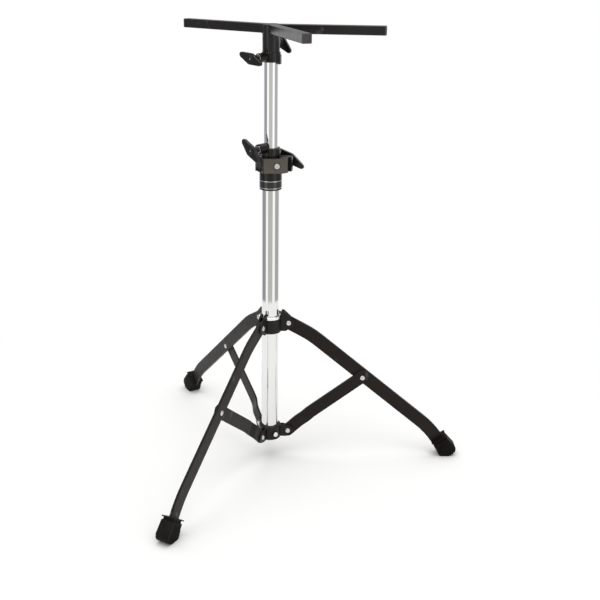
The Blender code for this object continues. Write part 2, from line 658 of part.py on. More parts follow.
def clamps():
    """Stop locks, wing bolts and washers, from the leg collar up to the top sleeve."""
    boss_z = {"lower": 0.6175, "upper": 0.7784}
    boss_r = {"lower": 0.0092, "upper": 0.0082}
    lug_drop = {"lower": 0.0, "upper": 0.0035}
    locks = {"lower": LOWER_LOCK_Z, "upper": UPPER_LOCK_Z}
    rolls = {"lower": 48.0, "upper": 73.0}
    for name, (low, high) in locks.items():
        place = (0, 0, boss_z[name])
        ring = stop_lock(f"{name}_stop_lock", low, high, boss_z[name], boss_r[name], lug_drop[name])
        joint_empty(f"{name}_stop_slide_axis", (MAST_X, 0, low), (ring,))
        washer(f"{name}_stop_washer", LOCK_SEAT, LOCK_AZIMUTH, place)
        wing_bolt(f"{name}_stop_wing_bolt", LOCK_SEAT, UPPER_TUBE_R + GAP, LOCK_AZIMUTH, rolls[name], place)
    bolt = clamp_bolt_place()
    turn = bolt["rotation"][2]
    washer("height_washer", CLAMP_LUG, turn, bolt["location"])
    wing_bolt("height_wing_bolt", CLAMP_LUG, -0.0060, turn, -57, bolt["location"], CLAMP_BLADE_REACH)
    collar_z = sum(LEG_COLLAR_Z) / 2
    washer("leg_lock_washer", LEG_LOCK_SEAT, LEG_LOCK_AZIMUTH, (0, 0, collar_z))
    wing_bolt("leg_lock_wing_bolt", LEG_LOCK_SEAT, BASE_TUBE_R + GAP, LEG_LOCK_AZIMUTH, 110,
              (0, 0, collar_z))


def top_frame():
    bolt_z = 0.8010
    pieces = [top_sleeve(bolt_z), sleeve_cap()]
    for side, angle in ARM_ANGLES.items():
        pieces += [arm(side, angle), arm_cap(side, angle)]
    pieces.append(washer("sleeve_washer", 0.0260, SLEEVE_AZIMUTH, (0, 0, bolt_z)))
    joint_empty("top_swivel_axis", (MAST_X, 0, UPPER_LOCK_Z[1]), pieces)
    wing_bolt("sleeve_wing_bolt", 0.0260, UPPER_TUBE_R + GAP, SLEEVE_AZIMUTH, 135, (0, 0, bolt_z))


mast_tubes()
tripod()
height_joint()
clamps()
top_frame()
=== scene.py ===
"""The looks of the practice pad stand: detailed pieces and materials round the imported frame."""
import math

import bmesh
import bpy
from mathutils import Matrix, Vector


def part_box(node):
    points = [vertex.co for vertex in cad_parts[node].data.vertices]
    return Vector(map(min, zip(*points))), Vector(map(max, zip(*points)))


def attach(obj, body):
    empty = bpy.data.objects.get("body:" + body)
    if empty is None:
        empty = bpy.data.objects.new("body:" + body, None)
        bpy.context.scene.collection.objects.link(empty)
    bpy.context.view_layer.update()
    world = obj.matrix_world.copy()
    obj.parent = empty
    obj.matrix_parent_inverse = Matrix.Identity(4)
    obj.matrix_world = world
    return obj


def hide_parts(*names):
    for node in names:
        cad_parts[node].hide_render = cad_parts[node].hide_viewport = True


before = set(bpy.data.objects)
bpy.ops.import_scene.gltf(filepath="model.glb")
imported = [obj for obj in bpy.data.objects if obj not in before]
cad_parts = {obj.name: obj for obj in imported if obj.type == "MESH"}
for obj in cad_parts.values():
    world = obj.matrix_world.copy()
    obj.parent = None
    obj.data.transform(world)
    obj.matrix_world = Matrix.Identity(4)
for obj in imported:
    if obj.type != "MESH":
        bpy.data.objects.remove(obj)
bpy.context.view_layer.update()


# ---- Sizes, in metres and degrees --------------------------------------------------------
def middle_of(node):
    low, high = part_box(node)
    return (low + high) / 2


def heights(node):
    low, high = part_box(node)
    return low.z, high.z


MAST = Vector((middle_of("base_tube").x, 0, 0))
GAP = 0.0003
BASE_R, BASE_BORE = 0.0159, 0.0140
UPPER_R, UPPER_BORE = 0.0127, 0.0115
LEGS = {"right": 0.0, "back": 120.0, "front": -120.0}

PIVOT_R = 0.0350
LEG_PIVOT_Z = middle_of("leg_pivot_rivet_right").z
BRACE_PIVOT_Z = middle_of("brace_pivot_rivet_right").z
KNEE_R = 0.17875
KNEE_Z = (LEG_PIVOT_Z + BRACE_PIVOT_Z) / 2
LEG_WIDTH, LEG_THICK = 0.0256, 0.0050
LEG_PATH = ((PIVOT_R, LEG_PIVOT_Z), (0.0796, 0.2537), (0.3126, 0.0585), (0.3465, 0.0110))
LEG_BEND_R = 0.1800
BRACE_WIDTH, BRACE_THICK = 0.0245, 0.0035
BRACE_PATH = ((PIVOT_R, BRACE_PIVOT_Z), (0.0790, 0.0935), (KNEE_R, 0.1685))
BRACE_BEND_R = 0.0450
BRACE_SHIFT = LEG_THICK / 2 + GAP + BRACE_THICK / 2
JOGGLE = (0.0560, 0.0740)

BOOT_HALF = 0.0127
BOOT_TOP = ((0.3210, 0.0265), (0.3460, 0.0430))
BOOT_HEEL_R = 0.3365
TOE_CENTRE, TOE_RADIUS = (0.3505, 0.0165), 0.0165
LIP = 0.0011

COLLAR_R, COLLAR_BORE = 0.0210, BASE_R + GAP
EAR_THICK, EAR_R = 0.0028, 0.0110
RIVET_R, RIVET_HEAD_R, RIVET_HEAD = 0.0027, 0.0047, 0.0016
COLLAR_SCREW_AZIMUTH = -62.0

HOUSING_R = 0.0205
LABEL_Z = (0.5435, 0.5582)
SLIT_AZIMUTH = -15.0
CLAMP_BOLT, CLAMP_LUG = 0.0288, 0.0130
REAR_HALF_R = 0.0248
HINGE_X, HINGE_PIN_R, KNUCKLE_R = -0.0245, 0.0016, 0.0035
KEY_BOLT_X, KEY_HOLE_R = 0.0112, 0.0028

LOCK_R, LOCK_AZIMUTH, LOCK_SEAT, LUG_AZIMUTH = 0.0170, -134.0, 0.0326, -20.0
LOCK_Z = {"lower": (0.6013, 0.6170), "upper": (0.7695, 0.7867)}
SLEEVE_R, SLEEVE_AZIMUTH, SLEEVE_SEAT = 0.0154, 66.0, 0.0260
LEG_LOCK_AZIMUTH, LEG_LOCK_SEAT = 68.0, 0.0285
ARM_SIDE, ARM_EDGE, ARM_WALL, ARM_REACH = 0.0160, 0.0014, 0.0015, 0.1985
CAP_THICK = 0.0020
ARM_TOP = heights("arm_right")[1]
ARM_ANGLES = {"left": 141.2, "right": -11.5, "front": -74.3}
SCREW_R, WASHER, WASHER_R = 0.0030, 0.0015, 0.0068
BLADE_REACH, CLAMP_BLADE_REACH, BLADE_WAIST = 0.0268, 0.0305, 0.0098
WING_LENGTH = 0.0205
THREAD_PITCH = 0.00125


# ---- Camera, light and floor -------------------------------------------------------------
def camera():
    data = bpy.data.cameras.new("camera")
    data.sensor_width = 36.0
    data.lens = 59.64
    data.shift_x = 0.0493
    data.shift_y = -0.0833
    data.clip_start = 0.05
    eye = bpy.data.objects.new("camera", data)
    bpy.context.scene.collection.objects.link(eye)
    turn = Matrix.Rotation(math.radians(-0.46), 4, "Z")
    tilt = Matrix.Rotation(math.radians(90 - 17.134), 4, "X")
    roll = Matrix.Rotation(math.radians(0.197), 4, "Z")
    stand_off = Matrix.Translation((0, -1.7689, 0.9682))
    eye.matrix_world = Matrix.Translation(MAST) @ turn @ stand_off @ tilt @ roll
    bpy.context.scene.camera = eye


def softbox(name, place, size, watts, aim):
    light = bpy.data.lights.new(name, "AREA")
    light.shape = "RECTANGLE"
    light.size, light.size_y = size
    light.energy = watts
    lamp = bpy.data.objects.new(name, light)
    bpy.context.scene.collection.objects.link(lamp)
    lamp.location = place
    lamp.rotation_euler = (Vector(aim) - Vector(place)).to_track_quat("-Z", "Y").to_euler()


def studio():
    """White for the camera; for reflections, a grey room with two tall white panels in front."""
    world = bpy.data.worlds.new("studio")
    bpy.context.scene.world = world
    world.use_nodes = True
    nodes, links = world.node_tree.nodes, world.node_tree.links
    nodes.clear()
    coords = nodes.new("ShaderNodeTexCoord")
    split = nodes.new("ShaderNodeSeparateXYZ")
    links.new(coords.outputs["Generated"], split.inputs[0])
    toward = nodes.new("ShaderNodeMath")
    toward.operation = "MULTIPLY"
    toward.inputs[1].default_value = -1.0
    links.new(split.outputs["Y"], toward.inputs[0])
    azimuth = nodes.new("ShaderNodeMath")
    azimuth.operation = "ARCTAN2"
    links.new(split.outputs["X"], azimuth.inputs[0])
    links.new(toward.outputs[0], azimuth.inputs[1])
    share = nodes.new("ShaderNodeMapRange")
    share.inputs["From Min"].default_value = -math.pi
    share.inputs["From Max"].default_value = math.pi
    links.new(azimuth.outputs[0], share.inputs["Value"])
    room = nodes.new("ShaderNodeValToRGB")
    panel, centre = (1.0, 1.0, 1.0), (0.485, 0.490, 0.455)
    left, right = (0.300, 0.300, 0.322), (0.40, 0.40, 0.40)
    backdrop, glow = (0.40, 0.39, 0.42), (1.0, 0.98, 1.0)
    stops = ((-180, backdrop), (-168, backdrop), (-158, glow), (-142, glow), (-132, left), (-69, left),
             (-61, panel), (-37, panel), (-31, centre), (25, centre), (31, panel), (58, panel),
             (66, right), (132, right), (142, glow), (158, glow), (168, backdrop), (180, backdrop))
    ramp = room.color_ramp
    while len(ramp.elements) < len(stops):
        ramp.elements.new(0.5)
    for element, (angle, colour) in zip(ramp.elements, stops):
        element.position = (angle + 180) / 360
        element.color = (*colour, 1)
    links.new(share.outputs[0], room.inputs["Fac"])
    overhead = nodes.new("ShaderNodeMapRange")
    overhead.inputs["From Min"].default_value = 0.55
    overhead.inputs["From Max"].default_value = 0.75
    links.new(split.outputs["Z"], overhead.inputs["Value"])
    both = nodes.new("ShaderNodeMix")
    both.data_type = "RGBA"
    links.new(overhead.outputs[0], both.inputs["Factor"])
    links.new(room.outputs["Color"], both.inputs["A"])
    both.inputs["B"].default_value = (0.85, 0.85, 0.85, 1)
    seen = nodes.new("ShaderNodeBackground")
    seen.inputs["Strength"].default_value = 1.0
    seen.inputs["Color"].default_value = (1, 1, 1, 1)
    around = nodes.new("ShaderNodeBackground")
    around.inputs["Strength"].default_value = 1.15
    links.new(both.outputs["Result"], around.inputs["Color"])
    path = nodes.new("ShaderNodeLightPath")
    mix = nodes.new("ShaderNodeMixShader")
    links.new(path.outputs["Is Camera Ray"], mix.inputs[0])
    links.new(around.outputs[0], mix.inputs[1])
    links.new(seen.outputs[0], mix.inputs[2])
    output = nodes.new("ShaderNodeOutputWorld")
    links.new(mix.outputs[0], output.inputs["Surface"])
    softbox("top_light", (MAST.x, -0.2, 2.6), (2.6, 2.6), 30, (MAST.x, 0, 0))


def floor():
    bm = bmesh.new()
    bmesh.ops.create_circle(bm, cap_ends=True, segments=96, radius=0.90)
    bmesh.ops.translate(bm, vec=MAST, verts=bm.verts)
    mesh = bpy.data.meshes.new("floor")
    bm.to_mesh(mesh)
    bm.free()
    ground = bpy.data.objects.new("floor", mesh)
    bpy.context.scene.collection.objects.link(ground)
    pale = bpy.data.materials.new("floor_paper")
    pale.use_nodes = True
    shader = pale.node_tree.nodes["Principled BSDF"]
    shader.inputs["Base Color"].default_value = (0.90, 0.90, 0.89, 1)
    shader.inputs["Roughness"].default_value = 0.9
    shader.inputs["Specular IOR Level"].default_value = 0.1
    mesh.materials.append(pale)


# ---- Materials ---------------------------------------------------------------------------
class Surface:
    """A Principled material whose colour, roughness and relief come from noise."""

    def __init__(self, name, metallic=0.0, specular=0.5, coat=0.0, sheen=0.0):
        self.material = bpy.data.materials.new(name)
        self.material.use_nodes = True
        self.nodes = self.material.node_tree.nodes
        self.links = self.material.node_tree.links
        self.shader = self.nodes["Principled BSDF"]
        self.shader.inputs["Metallic"].default_value = metallic
        self.shader.inputs["Specular IOR Level"].default_value = specular
        self.shader.inputs["Coat Weight"].default_value = coat
        self.shader.inputs["Coat Roughness"].default_value = 0.12
        self.shader.inputs["Sheen Weight"].default_value = sheen
        self.shader.inputs["Sheen Roughness"].default_value = 0.35
        self.coords = self.nodes.new("ShaderNodeTexCoord").outputs["Object"]
        self.relief = None

    def noise(self, scale, detail=2.0, stretch=(1, 1, 1)):
        place = self.nodes.new("ShaderNodeMapping")
        place.inputs["Scale"].default_value = stretch
        self.links.new(self.coords, place.inputs["Vector"])
        noise = self.nodes.new("ShaderNodeTexNoise")
        noise.inputs["Scale"].default_value = scale
        noise.inputs["Detail"].default_value = detail
        self.links.new(place.outputs[0], noise.inputs["Vector"])
        return noise.outputs["Fac"]

    def spread(self, value, low, high, start=0.3, end=0.7):
        span = self.nodes.new("ShaderNodeMapRange")
        span.inputs["From Min"].default_value = start
        span.inputs["From Max"].default_value = end
        span.inputs["To Min"].default_value = low
        span.inputs["To Max"].default_value = high
        self.links.new(value, span.inputs["Value"])
        return span.outputs[0]

    def blend(self, factor, first, second):
        mix = self.nodes.new("ShaderNodeMix")
        mix.data_type = "RGBA"
        self.links.new(factor, mix.inputs["Factor"])
        for colour, socket in ((first, mix.inputs["A"]), (second, mix.inputs["B"])):
            if isinstance(colour, tuple):
                socket.default_value = (*colour, 1)
            else:
                self.links.new(colour, socket)
        return mix.outputs["Result"]

    def colour(self, value):
        self.links.new(value, self.shader.inputs["Base Color"])

    def roughness(self, value):
        self.links.new(value, self.shader.inputs["Roughness"])

    def bump(self, height, strength, distance=0.0002):
        """Adds relief; a second call lies on top of the first."""
        bump = self.nodes.new("ShaderNodeBump")
        bump.inputs["Strength"].default_value = strength
        bump.inputs["Distance"].default_value = distance
        self.links.new(height, bump.inputs["Height"])
        if self.relief is not None:
            self.links.new(self.relief, bump.inputs["Normal"])
        self.relief = bump.outputs[0]
        self.links.new(self.relief, self.shader.inputs["Normal"])


def painted(name, dark, light, rough, grain, relief, scuff, specular=0.4, sheen=0.0):
    """Paint or powder coat: mottled colour, fine texture, and a few pale scuffs."""
    s = Surface(name, specular=specular, sheen=sheen)
    mottled = s.blend(s.spread(s.noise(14, 3), 0, 1), dark, light)
    speckled = s.blend(s.spread(s.noise(grain, 2), 0, 0.5), mottled, tuple(c * 1.5 for c in light))
    rubbed = s.spread(s.noise(55, 6, (1, 1, 0.6)), 0, scuff, 0.66, 0.74)
    s.colour(s.blend(rubbed, speckled, (0.16, 0.155, 0.15)))
    s.roughness(s.spread(s.noise(90, 4), rough[0], rough[1]))
    s.bump(s.noise(grain, 2), relief)
    s.bump(s.noise(35, 2), relief * 0.25, 0.0006)
    return s.material


def plated(name, low, high, rough, streak, relief):
    """Plated or polished metal: faint drawing marks along Z and uneven polish."""
    s = Surface(name, metallic=1.0)
    drawn = s.noise(streak, 3, (1, 1, 0.01))
    s.colour(s.blend(s.spread(drawn, 0, 1), low, high))
    s.roughness(s.spread(s.noise(28, 4), rough[0], rough[1]))
    s.bump(drawn, relief, 0.00004)
    s.bump(s.noise(9, 2), relief, 0.0002)
    return s.material


def moulded(name, dark, light, rough, grain, relief, coat=0.0, specular=0.5):
    """Moulded plastic or rubber: even colour, spark-eroded grain and dusty patches."""
    s = Surface(name, specular=specular, coat=coat)
    cloudy = s.blend(s.spread(s.noise(22, 4), 0, 1, 0.35, 0.75), dark, light)
    s.colour(cloudy)
    s.roughness(s.spread(s.noise(140, 3), rough[0], rough[1]))
    s.bump(s.noise(grain, 2), relief, 0.00012)
    return s.material


MATERIALS = {
    "black_strap": painted("powder_coat", (0.0078, 0.0053, 0.0043), (0.0125, 0.0090, 0.0074),
                           (0.38, 0.50), 1500, 0.22, 0.30, specular=0.15, sheen=0.20),
    "black_collar": painted("collar_paint", (0.0070, 0.0052, 0.0048), (0.0105, 0.0084, 0.0080),
                            (0.24, 0.34), 900, 0.10, 0.30, specular=0.22),
    "satin_arm": painted("arm_paint", (0.0060, 0.0042, 0.0044), (0.0090, 0.0068, 0.0070),
                         (0.20, 0.28), 1100, 0.06, 0.25, specular=0.45),
    # Grey of the clamp's flat front, and painted light where it also covers the right-facing chamfer.
    "grey_casting": painted("grey_front_paint_and_painted_light", (0.062, 0.054, 0.045), (0.092, 0.081, 0.069),
                            (0.44, 0.58), 1200, 0.30, 0.20),
    "tube_chrome": plated("tube_chrome", (0.86, 0.86, 0.86), (0.92, 0.92, 0.92),
                          (0.03, 0.07), 900, 0.05),
    "base_chrome": plated("base_chrome", (0.78, 0.78, 0.77), (0.83, 0.83, 0.82),
                          (0.03, 0.07), 900, 0.05),
    "bright_hardware": plated("bright_hardware", (0.84, 0.84, 0.84), (0.93, 0.93, 0.93),
                              (0.08, 0.18), 500, 0.05),
    "rivet_steel": plated("rivet_steel", (0.62, 0.60, 0.57), (0.80, 0.78, 0.75), (0.24, 0.38), 700, 0.15),
    "black_moulding": moulded("black_moulding", (0.0048, 0.0030, 0.0022), (0.0080, 0.0056, 0.0044),
                              (0.16, 0.26), 1600, 0.07, specular=0.42),
    "label": moulded("label_gloss", (0.006, 0.005, 0.004), (0.009, 0.008, 0.007),
                     (0.12, 0.18), 600, 0.02, coat=0.5),
    "wing_plastic": moulded("wing_plastic", (0.0045, 0.0038, 0.0034), (0.0085, 0.0075, 0.0068),
                            (0.22, 0.34), 1400, 0.12, specular=0.45),
    "cap_plastic": moulded("cap_plastic", (0.038, 0.034, 0.035), (0.064, 0.058, 0.059),
                           (0.40, 0.55), 1500, 0.20),
    "nylon": moulded("nylon", (0.50, 0.49, 0.45), (0.58, 0.57, 0.53), (0.40, 0.55), 700, 0.10),
    "boot_rubber": moulded("boot_rubber", (0.0075, 0.0064, 0.0060), (0.0155, 0.0136, 0.0128),
                           (0.45, 0.60), 1300, 0.25, specular=0.05),
    "plug_rubber": moulded("plug_rubber", (0.006, 0.006, 0.006), (0.012, 0.012, 0.012),
                           (0.60, 0.80), 900, 0.20, specular=0.3),
}


# ---- Outlines ----------------------------------------------------------------------------
def arc(centre, radius, start, end, steps):
    """Points on a circle from one angle to another, in degrees."""
    points = []
    for i in range(steps + 1):
        angle = math.radians(start + (end - start) * i / steps)
        points.append((centre[0] + radius * math.cos(angle), centre[1] + radius * math.sin(angle)))
    return points


def fillet(corners, steps=5):
    """A closed outline whose corners (x, y, radius) are rounded; a corner of two numbers stays sharp."""
    outline = []
    for i, corner in enumerate(corners):
        here = Vector(corner[:2])
        radius = corner[2] if len(corner) > 2 else 0.0
        if radius == 0.0:
            outline.append(tuple(here))
            continue
        before = (Vector(corners[i - 1][:2]) - here).normalized()
        after = (Vector(corners[(i + 1) % len(corners)][:2]) - here).normalized()
        half = before.angle(after) / 2
        centre = here + (before + after).normalized() * radius / math.sin(half)
        first = here + before * radius / math.tan(half) - centre
        last = here + after * radius / math.tan(half) - centre
        turn = math.atan2(first.x * last.y - first.y * last.x, first.dot(last))
        for k in range(steps + 1):
            angle = turn * k / steps
            x = first.x * math.cos(angle) - first.y * math.sin(angle)
            y = first.x * math.sin(angle) + first.y * math.cos(angle)
            outline.append((centre.x + x, centre.y + y))
    return outline


def rounded_path(corners, radius, steps=10):
    """A polyline whose inner corners are replaced by arcs: (point, heading) pairs."""
    headings = [math.atan2(b[1] - a[1], b[0] - a[0]) for a, b in zip(corners, corners[1:])]
    path = [(corners[0], headings[0])]
    for corner, before, after in zip(corners[1:], headings, headings[1:]):
        turn = after - before
        reach = radius * math.tan(abs(turn) / 2)
        side = math.copysign(radius, turn)
        start = (corner[0] - reach * math.cos(before), corner[1] - reach * math.sin(before))
        centre = (start[0] - side * math.sin(before), start[1] + side * math.cos(before))
        for i in range(steps + 1):
            heading = before + turn * i / steps
            point = (centre[0] + side * math.sin(heading), centre[1] - side * math.cos(heading))
            path.append((point, heading))
    path.append((corners[-1], headings[-1]))
    return path


def strap_outline(corners, radius, width, round_end, steps=18):
    """Outline of a strap along a path, with a half-round start and, if asked, end."""
    path = rounded_path(corners, radius)
    half = width / 2
    left = [(x - half * math.sin(h), y + half * math.cos(h)) for (x, y), h in path]
    right = [(x + half * math.sin(h), y - half * math.cos(h)) for (x, y), h in path]
    first = math.degrees(path[0][1])
    start_cap = arc(path[0][0], half, first + 90, first + 270, steps)[1:-1]
    end_cap = []
    if round_end:
        last = math.degrees(path[-1][1])
        end_cap = arc(path[-1][0], half, last - 90, last + 90, steps)[1:-1]
    return right + end_cap + left[::-1] + start_cap


# ---- Mesh tools --------------------------------------------------------------------------
def put_in_scene(name, bm):
    bmesh.ops.recalc_face_normals(bm, faces=bm.faces)
    mesh = bpy.data.meshes.new(name)
    bm.to_mesh(mesh)
    bm.free()
    obj = bpy.data.objects.new(name, mesh)
    bpy.context.scene.collection.objects.link(obj)
    return obj


def slab(name, outline, low, high, edge, segments=3):
    """A plate in the XY plane, between two heights, with rounded edges."""
    bm = bmesh.new()
    rings = [[bm.verts.new((x, y, z)) for x, y in outline] for z in (low, high)]
    bm.faces.new(rings[0][::-1])
    bm.faces.new(rings[1])
    count = len(outline)
    for i in range(count):
        j = (i + 1) % count
        bm.faces.new((rings[0][i], rings[0][j], rings[1][j], rings[1][i]))
    if edge > 0:
        rims = [e for e in bm.edges if e.verts[0].co.z == e.verts[1].co.z]
        bmesh.ops.bevel(bm, geom=rims, offset=edge, segments=segments, profile=0.5,
                        affect="EDGES", clamp_overlap=True)
    bmesh.ops.remove_doubles(bm, verts=bm.verts, dist=0.000005)
    return put_in_scene(name, bm)


def lathe(name, profile, steps=48):
    """Turn an outline of (radius, height) points about Z."""
    bm = bmesh.new()
    verts = [bm.verts.new((radius, 0, height)) for radius, height in profile]
    pairs = list(zip(verts, verts[1:]))
    if profile[0][0] > 0:
        pairs.append((verts[-1], verts[0]))
    edges = [bm.edges.new(pair) for pair in pairs]
    bmesh.ops.spin(bm, geom=verts + edges, cent=(0, 0, 0), axis=(0, 0, 1), angle=2 * math.pi,
                   steps=steps, use_merge=True)
    bmesh.ops.remove_doubles(bm, verts=bm.verts, dist=0.000002)
    return put_in_scene(name, bm)


def ring(name, outer, bore, low, high, edge=0.0006, steps=72):
    corners = [(bore, low, edge / 2), (outer, low, edge), (outer, high, edge), (bore, high, edge / 2)]
    return lathe(name, fillet(corners, 3), steps)


def bar(name, radius, start, end, edge=0.0, steps=32):
    """A solid cylinder on Z with rounded rims."""
    outline = fillet([(0, start), (radius, start, edge), (radius, end, edge), (0, end)], 3)
    return lathe(name, outline, steps)


def reamer(radius, low, high, chamfer):
    """A cutter for a through hole on Z that also chamfers both of its rims."""
    flare = 0.0030
    wide = radius + chamfer + flare
    profile = [(0, low - flare), (wide, low - flare), (radius, low + chamfer),
               (radius, high - chamfer), (wide, high + flare), (0, high + flare)]
    return lathe("reamer", profile, 96)


def place(obj, matrix):
    obj.data.transform(matrix)
    return obj


def settled_mesh(obj):
    bpy.context.view_layer.update()
    graph = bpy.context.evaluated_depsgraph_get()
    return bpy.data.meshes.new_from_object(obj.evaluated_get(graph))


def combine(obj, others, operation):
    for other in others:
        modifier = obj.modifiers.new("Boolean", "BOOLEAN")
        modifier.operation = operation
        modifier.object = other
        modifier.solver = "EXACT"
    obj.data = settled_mesh(obj)
    obj.modifiers.clear()
    for other in others:
        bpy.data.objects.remove(other, do_unlink=True)
    return obj


def join(obj, *others):
    return combine(obj, others, "UNION")


def carve(obj, *others):
    return combine(obj, others, "DIFFERENCE")


def gather(name, parts):
    """One mesh from several objects that stay separate shells, each with its own material."""
    bm = bmesh.new()
    materials = []
    for obj, slot in parts:
        first = len(bm.faces)
        bm.from_mesh(obj.data)
        bm.faces.ensure_lookup_table()
        for face in bm.faces[first:]:
            face.material_index = len(materials)
        materials.append(MATERIALS[slot])
        bpy.data.objects.remove(obj, do_unlink=True)
    whole = put_in_scene(name, bm)
    for material in materials:
        whole.data.materials.append(material)
    return whole


def finish_piece(obj, body, slot, nodes=(), sharp=40):
    """Smooth a piece, give it its material, tie it to its body, and hide the CAD nodes it replaces."""
    if not obj.data.materials:
        obj.data.materials.append(MATERIALS[slot])
    obj.data.shade_smooth()
    obj.data.set_sharp_from_angle(angle=math.radians(sharp))
    weighted = obj.modifiers.new("Weighted Normal", "WEIGHTED_NORMAL")
    weighted.keep_sharp = True
    weighted.weight = 100
    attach(obj, body)
    if nodes:
        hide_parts(*nodes)
    return obj


AT_MAST = Matrix.Translation(MAST)
UP_TO_SIDE = Matrix.Rotation(math.radians(90), 4, "X")     # XY outline to the upright XZ plane
Z_TO_X = Matrix.Rotation(math.radians(90), 4, "Y")


def about_mast(degrees):
    return AT_MAST @ Matrix.Rotation(math.radians(degrees), 4, "Z")


def in_leg_plane(angle, offset=0.0):
    """Outline (radius, height) to the plane of a leg, moved sideways by an offset."""
    return about_mast(angle) @ Matrix.Translation((0, offset, 0)) @ UP_TO_SIDE


def across_leg(angle, radius, height):
    """Z to the line across a leg's plane, through a point of that plane."""
    point = Matrix.Translation((radius, 0, height))
    return about_mast(angle) @ point @ Matrix.Rotation(math.radians(-90), 4, "X")


def outward(degrees, centre=(0.0, 0.0), height=0.0, roll=0.0):
    """Z to a level line that leaves a point beside the mast in the given direction."""
    there = Matrix.Translation((centre[0], centre[1], height))
    turn = Matrix.Rotation(math.radians(degrees), 4, "Z")
    return AT_MAST @ there @ turn @ Matrix.Rotation(math.radians(roll), 4, "X") @ Z_TO_X


# ---- Mast --------------------------------------------------------------------------------
def mast():
    tubes = (("base_tube", "base", BASE_R, BASE_BORE, "base_chrome"),
             ("upper_tube", "upper_tube", UPPER_R, UPPER_BORE, "tube_chrome"))
    for node, body, radius, bore, finish in tubes:
        low, high = heights(node)
        tube = place(ring(f"{node}_skin", radius, bore, low, high, 0.0005, 128), AT_MAST)
        tube.data.materials.append(MATERIALS[finish])     # both tubes share one slot
        finish_piece(tube, body, "tube_chrome", [node])
    low, high = heights("guide_bush")
    bush = ring("guide_bush_sleeve", BASE_BORE - GAP, UPPER_R + GAP, low, high, 0.0004)
    finish_piece(place(bush, AT_MAST), "base", "nylon", ["guide_bush"])
    low, high = heights("upper_tube_glide")
    spigot, flange, tube_end = UPPER_BORE - GAP, BASE_BORE - GAP, low + 0.0080 - GAP
    glide = lathe("upper_tube_slider", fillet([
        (0, high), (spigot, high, 0.0010), (spigot, tube_end), (flange, tube_end, 0.0006),
        (flange, low, 0.0015), (0, low)], 3))
    finish_piece(place(glide, AT_MAST), "upper_tube", "nylon", ["upper_tube_glide"])
    low, high = heights("base_tube_plug")
    tube_end = heights("base_tube")[0] - GAP
    spigot = BASE_BORE - GAP
    plug = lathe("base_tube_foot", fillet([
        (0, high), (spigot, high, 0.0012), (spigot, tube_end), (BASE_R, tube_end, 0.0004),
        (BASE_R, low, 0.0010), (0.0100, low, 0.0010), (0.0085, low + 0.0012, 0.0010), (0, low + 0.0012)], 3))
    finish_piece(place(plug, AT_MAST), "base", "plug_rubber", ["base_tube_plug"])


# ---- Tripod ------------------------------------------------------------------------------
def rivet(node, body, low, high, angle, radius, height):
    """A rivet with domed heads; each head has a small dimple."""
    half = []
    for share in (1.0, 0.92, 0.78, 0.60, 0.42):
        half.append((RIVET_HEAD_R * share, RIVET_HEAD * math.sqrt(1 - share ** 2)))
    half += [(RIVET_HEAD_R * 0.26, RIVET_HEAD * 0.90), (RIVET_HEAD_R * 0.14, RIVET_HEAD * 0.62),
             (0, RIVET_HEAD * 0.55)]
    top, bottom = high + GAP, low - GAP
    profile = [(r, top + h) for r, h in half[::-1]] + [(RIVET_R, top), (RIVET_R, bottom)]
    profile += [(r, bottom - h) for r, h in half]
    piece = lathe(f"{node}_head", profile, 36)
    finish_piece(place(piece, across_leg(angle, radius, height)), body, "rivet_steel", [node])


def rivet_hole(angle, radius, height):
    return place(bar("hole", RIVET_R + GAP / 2, -0.0151, 0.0151, 0, 30), across_leg(angle, radius, height))


def leg_strap(side, angle):
    outline = strap_outline(LEG_PATH, LEG_BEND_R, LEG_WIDTH, False)
    strap = slab(f"leg_{side}_strap", outline, -LEG_THICK / 2, LEG_THICK / 2, 0.0011, 4)
    place(strap, in_leg_plane(angle))
    carve(strap, rivet_hole(angle, PIVOT_R, LEG_PIVOT_Z), rivet_hole(angle, KNEE_R, KNEE_Z))
    finish_piece(strap, f"leg_{side}", "black_strap", [f"leg_{side}"])


def brace_strap(side, angle):
    """A flat brace that steps sideways in an S, from its collar to the flank of its leg."""
    outline = strap_outline(BRACE_PATH, BRACE_BEND_R, BRACE_WIDTH, True)
    strap = slab(f"brace_{side}_strap", outline, -BRACE_THICK / 2, BRACE_THICK / 2, 0.0009, 3)
    place(strap, UP_TO_SIDE)
    rise = math.atan2(BRACE_PATH[2][1] - BRACE_PATH[1][1], BRACE_PATH[2][0] - BRACE_PATH[1][0])
    along = Vector((math.cos(rise), 0, math.sin(rise)))
    origin = Vector((PIVOT_R, 0, BRACE_PIVOT_Z))
    low, high = ((r - PIVOT_R) / math.cos(rise) for r in JOGGLE)
    bm = bmesh.new()
    bm.from_mesh(strap.data)
    cuts = 9
    for i in range(cuts + 1):
        spot = origin + along * (low + (high - low) * i / cuts)
        everything = bm.verts[:] + bm.edges[:] + bm.faces[:]
        bmesh.ops.bisect_plane(bm, geom=everything, plane_co=spot, plane_no=along)
    for vert in bm.verts:
        share = min(1.0, max(0.0, ((vert.co - origin).dot(along) - low) / (high - low)))
        vert.co.y -= BRACE_SHIFT * share * share * (3 - 2 * share)
    bm.to_mesh(strap.data)
    bm.free()
    place(strap, about_mast(angle))
    carve(strap, rivet_hole(angle, PIVOT_R, BRACE_PIVOT_Z), rivet_hole(angle, KNEE_R, KNEE_Z))
    finish_piece(strap, f"brace_{side}", "black_strap", [f"brace_{side}"])


